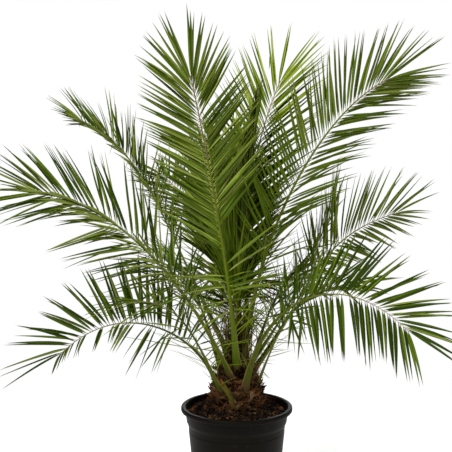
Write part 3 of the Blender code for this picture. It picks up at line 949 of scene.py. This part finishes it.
def fibre_form(sizes):
    """Fibre on the trunk, in the crotches of the leaf bases and up among the stalks."""
    sheaf = Sheaf()
    rng = random.Random(SEED_FIBRE)
    for _ in range(sizes.fibre_count):
        height = rng.uniform(*FIBRE_HEIGHTS)
        azimuth = rng.uniform(0, 360)
        reach = trunk_radius(height) + rng.uniform(*FIBRE_DEPTHS)
        root = on_circle(azimuth, reach, TRUNK_FOOT_Z + height)
        heading = aim(rng, azimuth, FIBRE_AIM)
        length = rng.uniform(*FIBRE_LENGTHS) * (1 + FIBRE_LONGER * rng.random())
        add_hair(sheaf, rng, root, heading, length, rng.uniform(*FIBRE_RADII),
                 rng.choices(range(4), FIBRE_ODDS)[0])
    for _ in range(sizes.strap_count):
        azimuth = rng.uniform(0, 360)
        root = on_circle(azimuth, rng.uniform(*STRAP_DEPTHS), TRUNK_FOOT_Z + rng.uniform(*STRAP_HEIGHTS))
        heading = aim(rng, azimuth, STRAP_AIM)
        add_hair(sheaf, rng, root, heading, rng.uniform(*STRAP_LENGTHS), rng.uniform(*STRAP_RADII),
                 rng.choices(range(5), STRAP_ODDS)[0], limp=STRAP_LIMP, steps=STRAP_STEPS)
    return sheaf


# Soil


def soil_height(radius):
    """The bed is level round the trunk and falls to the pot's wall."""
    table = ((0.0, SOIL_TOP_Z), (SOIL_FLAT_R, SOIL_TOP_Z), (SOIL_EDGE_R, SOIL_EDGE_Z))
    return along(table, radius)


def soil_point(point):
    """The bed's surface in clods and hollows, level at the trunk's foot."""
    spot = Vector(point)
    radius = math.hypot(spot.x, spot.y)
    clods = noise.fractal(Vector((spot.x, spot.y, 0)) * CLODS[0], *CLOD_FRACTAL) * CLODS[1]
    crumbs = noise.noise(Vector((spot.x, spot.y, 2)) * CRUMBS[0]) * CRUMBS[1]
    calm = min(1.0, max(0.0, (SOIL_EDGE_R - radius) / BED_CALM))
    return spot + Vector((0, 0, (clods + crumbs - BED_SUNK) * calm))


def soil_form():
    """The bed's rough top, and its plain sides and underside in the pot."""
    sheaf = Sheaf()
    radii = [SOIL_EDGE_R * i / BED_ROWS for i in range(BED_ROWS + 1)]
    sheaf.lathe([(radius, soil_height(radius)) for radius in radii], BED_SIDES, soil_point)
    depth = SOIL_EDGE_Z - SOIL_DEEP
    sheaf.lathe([(SOIL_EDGE_R, SOIL_EDGE_Z), (SOIL_FOOT_R, depth), (0.0, depth)], BED_SIDES)
    return sheaf


def add_chip(sheaf, rng, spot, size, tone):
    """A flat splinter of bark with an uneven outline, lying askew."""
    tilt, rock = CHIP_TILTS
    heading = direction(rng.uniform(0, 360), rng.gauss(0, tilt))
    side = heading.orthogonal().normalized()
    side = Matrix.Rotation(rng.gauss(0, rock), 3, heading) @ side
    face = heading.cross(side)
    half = size * rng.uniform(*CHIP_WIDTHS)
    thick = size * rng.uniform(*CHIP_THICK)
    rings = []
    for s, wide in CHIP_OUTLINE:
        middle = spot + heading * (size * s * rng.uniform(*CHIP_UNEVEN["length"]))
        across = side * (half * wide * rng.uniform(*CHIP_UNEVEN["width"]))
        up = face * (thick * rng.uniform(*CHIP_UNEVEN["thick"]))
        rings.append([middle + across, middle + up, middle - across, middle - up])
    sheaf.loft(rings, lambda stretch, k: tone)


def ring_radius(rng, radii):
    """A radius between two, with an even spread over the ring's area."""
    inner, outer = radii
    return math.sqrt(rng.uniform(inner**2, outer**2))


def litter_form(sizes):
    """Bark chips and fine crumbs over the bed."""
    sheaf = Sheaf()
    rng = random.Random(SEED_LITTER)
    for _ in range(sizes.chip_count):
        radius = ring_radius(rng, CHIP_RADII)
        smallest, more, rarity = CHIP_SIZES
        size = smallest + more * rng.random() ** rarity
        spot = soil_point(on_circle(rng.uniform(0, 360), radius, soil_height(radius)))
        spot.z += size * rng.uniform(0.0, CHIP_LIFT)
        add_chip(sheaf, rng, spot, size, rng.choices(range(4), CHIP_ODDS)[0])
    for _ in range(sizes.chip_count // CHIPS_TO_ROOTLET):
        radius = ring_radius(rng, ROOTLET_RADII)
        spot = soil_point(on_circle(rng.uniform(0, 360), radius, soil_height(radius)))
        add_hair(sheaf, rng, spot, direction(rng.uniform(0, 360), rng.uniform(*ROOTLET_RISE)),
                 rng.uniform(*ROOTLET_LENGTHS), rng.uniform(*ROOTLET_THICK),
                 rng.choice(ROOTLET_TONES), limp=ROOTLET_LIMP)
    return sheaf


# Pot


def rounded(corner_from, corner, corner_to, radius, steps=6):
    """Points of a fillet at a corner of the profile."""
    a, b, c = (Vector((*pair, 0)) for pair in (corner_from, corner, corner_to))
    first, second = (a - b).normalized(), (c - b).normalized()
    start, end = b + first * radius, b + second * radius
    points = []
    for i in range(steps + 1):
        s = i / steps
        spot = start * (1 - s) ** 2 + b * (2 * s * (1 - s)) + end * s**2
        points.append((spot.x, spot.y))
    return points


def pot_profile():
    """(radius, height) from the inside of the floor, over the rim and down to the foot."""
    top = POT_HEIGHT
    neck, shoulder, ring = top - RIM_BAND, top - SHOULDER_DROP, top - RING_DROP
    taper = (POT_NECK_R - SHOULDER_IN - POT_BASE_R) / neck

    def body_r(height):
        return POT_BASE_R + taper * height

    corners = [
        ((0.0, POT_FLOOR), 0),
        ((body_r(POT_FLOOR) - POT_WALL, POT_FLOOR), 0.003),
        ((body_r(shoulder) - POT_WALL, shoulder), 0.002),
        ((body_r(neck) + SHOULDER_IN - POT_WALL, neck), 0.002),
        ((POT_MOUTH_R, top - 0.003), 0.0015),
        ((POT_MOUTH_R + 0.002, top), 0.0022),
        ((POT_RIM_R, top), 0.0052),
        ((POT_RIM_R, neck), 0.0042),
        ((body_r(neck) + SHOULDER_IN, neck + 0.001), 0.0015),
        ((body_r(shoulder) + SHOULDER_IN, shoulder + 2 * SHOULDER_IN), 0.0040),
        ((body_r(shoulder), shoulder), 0.0040),
        ((body_r(ring), ring + 3 * RING_OUT), 0.0017),
        ((body_r(ring) + RING_OUT / 2, ring), 0.0017),
        ((body_r(ring), ring - 3 * RING_OUT), 0.0017),
        ((POT_BASE_R + 0.0002, 0.0), 0.003),
        ((0.0, 0.0), 0),
    ]
    profile = []
    for i, (corner, radius) in enumerate(corners):
        if radius:
            profile += rounded(corners[i - 1][0], corner, corners[i + 1][0], radius)
        else:
            profile.append(corner)
    return profile


def pot_form():
    sheaf = Sheaf()
    sheaf.lathe(pot_profile(), POT_SIDES)
    return sheaf


# Finishes


def leaf_paint(name, color, roughness=0.48):
    """A leaf's colour in soft patches, with finer darker streaks."""
    paint = Paint(name, roughness=roughness, specular_ior_level=0.02)
    patches = paint.noise(26, 2.0)
    streaks = paint.noise(190, 2.0)
    tint = paint.blend(patches, dimmed(color, 0.72), dimmed(color, 1.30))
    tint = paint.blend(0.35 * streaks, tint, dimmed(color, 0.6))
    return paint.surface(base_color=tint)


def leaf_paints(colours):
    """One finish for each tone, in the order of the tones."""
    finishes = (
        ("sun", colours.leaf_sun, 0.48),
        ("mid", colours.leaf_mid, 0.48),
        ("deep", colours.leaf_deep, 0.48),
        ("pale", colours.leaf_pale_and_sheen, 0.48),
        ("underside", colours.leaf_under, 0.55),
        ("shade", colours.leaf_shade, 0.55),
        ("dry", colours.leaf_dry, 0.7),
        ("straw_foot", colours.rib_straw, 0.5),
    )
    return [leaf_paint("leaflet_" + name, color, roughness) for name, color, roughness in finishes]


def rib_paint(name, colours, green, straw_from):
    """Brown at the foot, then a darker green that is painted shade where the stalks leave the crown, green
    stalk with pale margins, straw towards the tip.
    """
    paint = Paint(name, specular_ior_level=0.03)
    place = paint.node("ShaderNodeAttribute", {"attribute_name": "rib_place"}, None, "Vector")
    share, _, edge = (paint.node("ShaderNodeSeparateXYZ", None, {0: place}, i) for i in range(3))
    streaks = paint.noise(3.0, 4.0, paint.stretched(place, (4.0, 14.0, 1.0)))
    blotches = paint.noise(42, 3.0)
    tint = paint.ramp(share, [
        (0.00, dimmed(colours.fibre_brown, 0.6)),
        (0.015, colours.fibre_brown),
        # Painted shade: a darker green just above the brown foot, where the stalks leave the crown.
        (0.045, dimmed(green, 0.7)),
        (0.14, green),
        (0.45, dimmed(green, 1.15)),
        (straw_from - 0.12, colours.rib_olive),
        (straw_from, colours.rib_straw),
    ])
    tint = paint.blend(0.9 * streaks, tint, dimmed(green, 0.35))
    margin = paint.step(edge, 0.55, 0.95) * (1 - paint.step(share, 0.22, 0.5)) * 0.7
    tint = paint.blend(margin, tint, colours.rib_margin)
    spots = paint.step(blotches, 0.6, 0.75) * 0.35
    tint = paint.blend(spots, tint, colours.fibre_brown)
    normal = paint.bump(streaks, 0.35, 0.0008)
    return paint.surface(base_color=tint, roughness=0.38 + 0.2 * blotches, normal=normal)


def fibre_paint(name, color):
    """Dry fibre or bark: light and dark grain, rough to the touch."""
    paint = Paint(name, specular_ior_level=0.06)
    grain = paint.noise(140, 5.0, paint.stretched(paint.place(), (1.0, 1.0, 0.35)))
    patches = paint.noise(35, 3.0)
    tint = paint.blend(grain, dimmed(color, 0.28), dimmed(color, 1.6))
    tint = paint.blend(0.6 * patches, tint, dimmed(color, 0.5))
    normal = paint.bump(grain, 0.8, 0.0015)
    return paint.surface(base_color=tint, roughness=0.8 + 0.15 * patches, normal=normal)


def fibre_paints(colours):
    return [
        fibre_paint("fibre_dark", dimmed(colours.fibre_brown, 0.18)),
        fibre_paint("fibre_brown", colours.fibre_brown),
        fibre_paint("fibre_rust", colours.fibre_rust),
        fibre_paint("fibre_tan", colours.fibre_tan),
        leaf_paint("stump_green", colours.stump_olive, 0.6),
    ]


def soil_paints(colours):
    bed = Paint("potting_mix", specular_ior_level=0.05)
    grains = bed.noise(420, 4.0)
    clods = bed.noise(60, 3.0)
    tint = bed.blend(grains, dimmed(colours.soil_dark, 0.4), dimmed(colours.soil_dark, 1.9))
    tint = bed.blend(bed.step(clods, 0.55, 0.7) * 0.5, tint, colours.chip_brown)
    bed.surface(base_color=tint, roughness=0.85 + 0.1 * clods, normal=bed.bump(grains, 1.0, 0.002))
    chips = [
        fibre_paint("chip_black", dimmed(colours.soil_dark, 0.9)),
        fibre_paint("chip_brown", colours.chip_brown),
        fibre_paint("chip_rust", dimmed(colours.fibre_rust, 0.45)),
        fibre_paint("chip_tan", dimmed(colours.fibre_tan, 0.5)),
    ]
    return bed.material, chips


def pot_paint(colours):
    """Black moulded plastic with fine grain, faint turning lines, scuffs and a little dust."""
    paint = Paint("pot_black_plastic", specular_ior_level=0.045)
    place = paint.place()
    grain = paint.noise(900, 2.0)
    smudges = paint.noise(16, 4.0)
    lines = paint.noise(6.0, 2.0, paint.stretched(place, (0.4, 0.4, 60.0)))
    dust = paint.step(paint.noise(48, 5.0), 0.56, 0.72) * 0.16
    tint = paint.blend(smudges, dimmed(colours.pot_black, 0.8), dimmed(colours.pot_black, 1.3))
    tint = paint.blend(dust, tint, colours.pot_dust)
    relief = grain * 0.35 + lines * 0.65
    normal = paint.bump(relief, 0.12, 0.0006)
    return paint.surface(base_color=tint, roughness=0.40 + 0.16 * smudges + 0.4 * dust, normal=normal)


def floor_paint(colours):
    glow = {"emission_color": (1, 1, 1, 1), "emission_strength": 0.35}
    paint = Paint("pale_floor", specular_ior_level=0.1, **glow)
    speckle = paint.noise(60, 3.0)
    tint = paint.blend(speckle, dimmed(colours.floor_pale, 0.985), colours.floor_pale)
    return paint.surface(base_color=tint, roughness=0.9 + 0.05 * speckle)


# Sizes and colours


def color_property(name, description, default):
    return bpy.props.FloatVectorProperty(
        name=name, description=description, default=default, size=3, min=0, max=1, subtype="COLOR")


def length_property(name, description, default):
    return bpy.props.FloatProperty(name=name, description=description, default=default, unit="LENGTH")


def share_property(name, description, default):
    return bpy.props.FloatProperty(
        name=name, description=description, default=default, min=0, max=1, subtype="FACTOR")


def count_property(name, description, default):
    return bpy.props.IntProperty(name=name, description=description, default=default, min=0)


class PalmSizes(bpy.types.PropertyGroup):
    """Sizes and counts of the plant's small parts."""

    leaflet_width: length_property("Leaflet width", "Widest part of a usual leaflet, laid flat", 0.0092)
    leaflet_pitch: length_property("Leaflet pitch", "From one leaflet to the next along a rib", 0.0082)
    leaflet_droop: share_property("Leaflet droop", "How far a level leaflet hangs, against its length", 0.05)
    kinked_share: share_property("Kinked leaflets", "Share of the leaflets that are bent down", 0.008)
    dry_tip_share: share_property("Dry tips", "Share of the leaflets with a dry tip", 0.5)
    dead_share: share_property("Dry leaflets", "Share of the leaflets that are wholly dry", 0.0004)
    spine_pitch: length_property("Spine pitch", "From one spine to the next along a stalk", 0.028)
    spine_length: length_property("Spine length", "Longest spines, next to the leaflets", 0.20)
    spine_width: length_property("Spine width", "Widest part of a long spine", 0.0030)
    flap_count: count_property("Flaps", "Small torn flaps between the cut leaf bases", 260)
    fibre_count: count_property("Fibres", "Short fibres on the trunk", 3000)
    strap_count: count_property("Straps", "Long dry strips that stand among the stalks", 150)
    chip_count: count_property("Chips", "Bark chips and crumbs on the soil", 1500)


class PalmColours(bpy.types.PropertyGroup):
    """Base colours of the plant, its soil and its pot."""

    leaf_sun: color_property("Sunlit leaflets", "Light yellow-green", (0.205, 0.276, 0.021))
    leaf_mid: color_property("Leaflets", "Mid green", (0.094, 0.145, 0.009))
    leaf_deep: color_property("Shaded leaflets", "Deep green", (0.022, 0.044, 0.002))
    # Pale leaflet feet, and a painted sheen on leaflets of fronds in the light.
    leaf_pale_and_sheen: color_property("Pale leaflets", "Pale grey-green and painted sheen", (0.31, 0.35, 0.070))
    leaf_under: color_property("Undersides", "Grey-green", (0.165, 0.205, 0.038))
    leaf_shade: color_property("Shaded undersides", "Dark green", (0.048, 0.077, 0.007))
    leaf_dry: color_property("Dry leaf", "Straw brown", (0.36, 0.25, 0.11))
    # Lit and shaded copies of the stalk colour: painted light and painted shade.
    rib_sunlit_green: color_property("Sunlit stalks", "Olive green", (0.108, 0.152, 0.008))
    rib_shaded: color_property("Shaded stalks", "Dark olive green", (0.098, 0.126, 0.009))
    rib_olive: color_property("Middle of the ribs", "Yellow-green", (0.13, 0.15, 0.024))
    stump_olive: color_property("Old stalk foot", "Yellowish olive brown", (0.085, 0.074, 0.010))
    rib_straw: color_property("Rib tips", "Straw", (0.27, 0.225, 0.105))
    rib_margin: color_property("Stalk margins", "Tan", (0.23, 0.165, 0.065))
    fibre_brown: color_property("Fibre", "Brown", (0.105, 0.055, 0.026))
    fibre_rust: color_property("Rust fibre", "Red-brown", (0.24, 0.098, 0.034))
    fibre_tan: color_property("Tan fibre", "Dry tan", (0.33, 0.21, 0.10))
    soil_dark: color_property("Soil", "Dark brown", (0.005, 0.003, 0.0018))
    chip_brown: color_property("Bark chips", "Brown", (0.025, 0.013, 0.007))
    pot_black: color_property("Pot", "Black plastic", (0.0034, 0.0029, 0.0017))
    pot_dust: color_property("Dust", "Soil dust on the pot", (0.022, 0.018, 0.013))
    floor_pale: color_property("Floor", "Pale floor", (0.93, 0.93, 0.93))


def add_light(scene, name, place, size, power):
    """A soft square lamp that faces the middle of the plant."""
    lamp = bpy.data.lights.new(name, "AREA")
    lamp.size = size
    lamp.energy = power
    obj = bpy.data.objects.new(name, lamp)
    obj.location = place
    heading = Vector(LIGHT_AIM) - obj.location
    obj.rotation_euler = heading.to_track_quat("-Z", "Y").to_euler()
    scene.collection.objects.link(obj)


class PALM_OT_stage(bpy.types.Operator):
    """Make the camera, the soft lights and the floor"""

    bl_idname = "palm.stage"
    bl_label = "Camera, lights and floor"
    bl_options = {"REGISTER", "UNDO"}

    def execute(self, context):
        scene = context.scene
        lens = bpy.data.cameras.new("camera")
        lens.lens = CAMERA_LENS
        camera = bpy.data.objects.new("camera", lens)
        camera.location = CAMERA_AT
        camera.rotation_euler = (math.radians(CAMERA_PITCH), 0, 0)
        scene.collection.objects.link(camera)
        scene.camera = camera
        for light in LIGHTS:
            add_light(scene, *light)
        world = bpy.data.worlds.new("studio")
        world.use_nodes = True
        background = world.node_tree.nodes["Background"]
        background.inputs["Color"].default_value = (1, 1, 1, 1)
        path = world.node_tree.nodes.new("ShaderNodeLightPath")
        strength = world.node_tree.nodes.new("ShaderNodeMapRange")
        strength.inputs["To Min"].default_value = ROOM_LIGHT
        strength.inputs["To Max"].default_value = BACKDROP
        world.node_tree.links.new(path.outputs["Is Camera Ray"], strength.inputs["Value"])
        world.node_tree.links.new(strength.outputs["Result"], background.inputs["Strength"])
        scene.world = world
        scene.view_settings.view_transform = "Standard"
        sheaf = Sheaf()
        sheaf.lathe(FLOOR_PROFILE, FLOOR_SIDES)
        floor = bpy.data.objects.new("floor", sheaf.mesh("floor", [floor_paint(scene.palm_colours)]))
        scene.collection.objects.link(floor)
        return {"FINISHED"}


class PALM_OT_pot(bpy.types.Operator):
    """Make the thin-walled pot with its rolled rim and shoulder"""

    bl_idname = "palm.pot"
    bl_label = "Pot"
    bl_options = {"REGISTER", "UNDO"}

    def execute(self, context):
        paint = pot_paint(context.scene.palm_colours)
        pot_form().piece("nursery_pot", [paint], "pot_plastic", ["pot"], 50)
        return {"FINISHED"}


class PALM_OT_soil(bpy.types.Operator):
    """Make the bed of soil and the bark chips on it"""

    bl_idname = "palm.soil"
    bl_label = "Soil and chips"
    bl_options = {"REGISTER", "UNDO"}

    def execute(self, context):
        bed, chips = soil_paints(context.scene.palm_colours)
        soil_form().piece("soil_bed", [bed], "soil_mix", ["soil"], 60)
        litter_form(context.scene.palm_sizes).piece("soil_litter", chips, "soil_mix")
        return {"FINISHED"}


class PALM_OT_trunk(bpy.types.Operator):
    """Make the trunk with its torn leaf bases and fibre"""

    bl_idname = "palm.trunk"
    bl_label = "Trunk and fibre"
    bl_options = {"REGISTER", "UNDO"}

    def execute(self, context):
        sizes = context.scene.palm_sizes
        paints = fibre_paints(context.scene.palm_colours)
        trunk_form(sizes).piece("trunk_leaf_bases", paints, "trunk_fibre", ["trunk"])
        fibre_form(sizes).piece("trunk_fibres", paints, "trunk_fibre")
        return {"FINISHED"}


class PALM_OT_ribs(bpy.types.Operator):
    """Make every frond's stalk and rib, and the spines on the stalks"""

    bl_idname = "palm.ribs"
    bl_label = "Ribs and spines"
    bl_options = {"REGISTER", "UNDO"}

    def execute(self, context):
        sizes, colours = context.scene.palm_sizes, context.scene.palm_colours
        # Lit and shaded copies of one stalk paint, picked by the frond's light: painted light and painted
        # shade.
        sunlit = rib_paint("rib_sunlit", colours, colours.rib_sunlit_green, STRAW_STARTS["sunlit"])
        shaded = rib_paint("rib_shaded", colours, colours.rib_shaded, STRAW_STARTS["shaded"])
        spines = Sheaf()
        for seed, rib in enumerate(ribs()):
            paint = sunlit if rib.spec["light"] >= SUNLIT_FROM else shaded
            rib_form(rib).piece(rib.name + "_rib", [paint], "frond_green", rib.nodes(), 50)
            add_spines(spines, rib, sizes, SEED_SPINES + seed)
        paints = [
            leaf_paint("spine_green", dimmed(colours.rib_sunlit_green, 1.25)),
            leaf_paint("spine_yellow", dimmed(colours.rib_olive, 0.9)),
            leaf_paint("spine_tip", colours.leaf_dry, 0.7),
        ]
        spines.piece("stalk_spines", paints, "frond_green")
        return {"FINISHED"}


class PALM_OT_leaflets(bpy.types.Operator):
    """Make every frond's leaflets"""

    bl_idname = "palm.leaflets"
    bl_label = "Leaflets"
    bl_options = {"REGISTER", "UNDO"}

    def execute(self, context):
        paints = leaf_paints(context.scene.palm_colours)
        for seed, rib in enumerate(ribs()):
            sheaf = blade_form(rib, context.scene.palm_sizes, SEED_LEAFLETS + seed)
            sheaf.piece(rib.name + "_leaflets", paints, "frond_green")
        return {"FINISHED"}


class PALM_PT_panel(bpy.types.Panel):
    """Lists the steps with their sizes and colours"""

    bl_idname = "PALM_PT_panel"
    bl_label = "Potted date palm"
    bl_space_type = "VIEW_3D"
    bl_region_type = "UI"
    bl_category = "Palm"

    def draw(self, context):
        for step in STEPS:
            self.layout.operator(step.bl_idname)
        for group in (context.scene.palm_sizes, context.scene.palm_colours):
            box = self.layout.box()
            for key in group.__annotations__:
                box.prop(group, key)


STEPS = (PALM_OT_stage, PALM_OT_pot, PALM_OT_soil, PALM_OT_trunk, PALM_OT_ribs, PALM_OT_leaflets)
CLASSES = (PalmSizes, PalmColours, *STEPS, PALM_PT_panel)


def register():
    for cls in CLASSES:
        bpy.utils.register_class(cls)
    bpy.types.Scene.palm_sizes = bpy.props.PointerProperty(type=PalmSizes)
    bpy.types.Scene.palm_colours = bpy.props.PointerProperty(type=PalmColours)


def unregister():
    del bpy.types.Scene.palm_colours
    del bpy.types.Scene.palm_sizes
    for cls in reversed(CLASSES):
        bpy.utils.unregister_class(cls)


def main():
    register()
    for step in STEPS:
        getattr(bpy.ops.palm, step.bl_idname.partition(".")[2])()


if __name__ == "__main__":
    main()
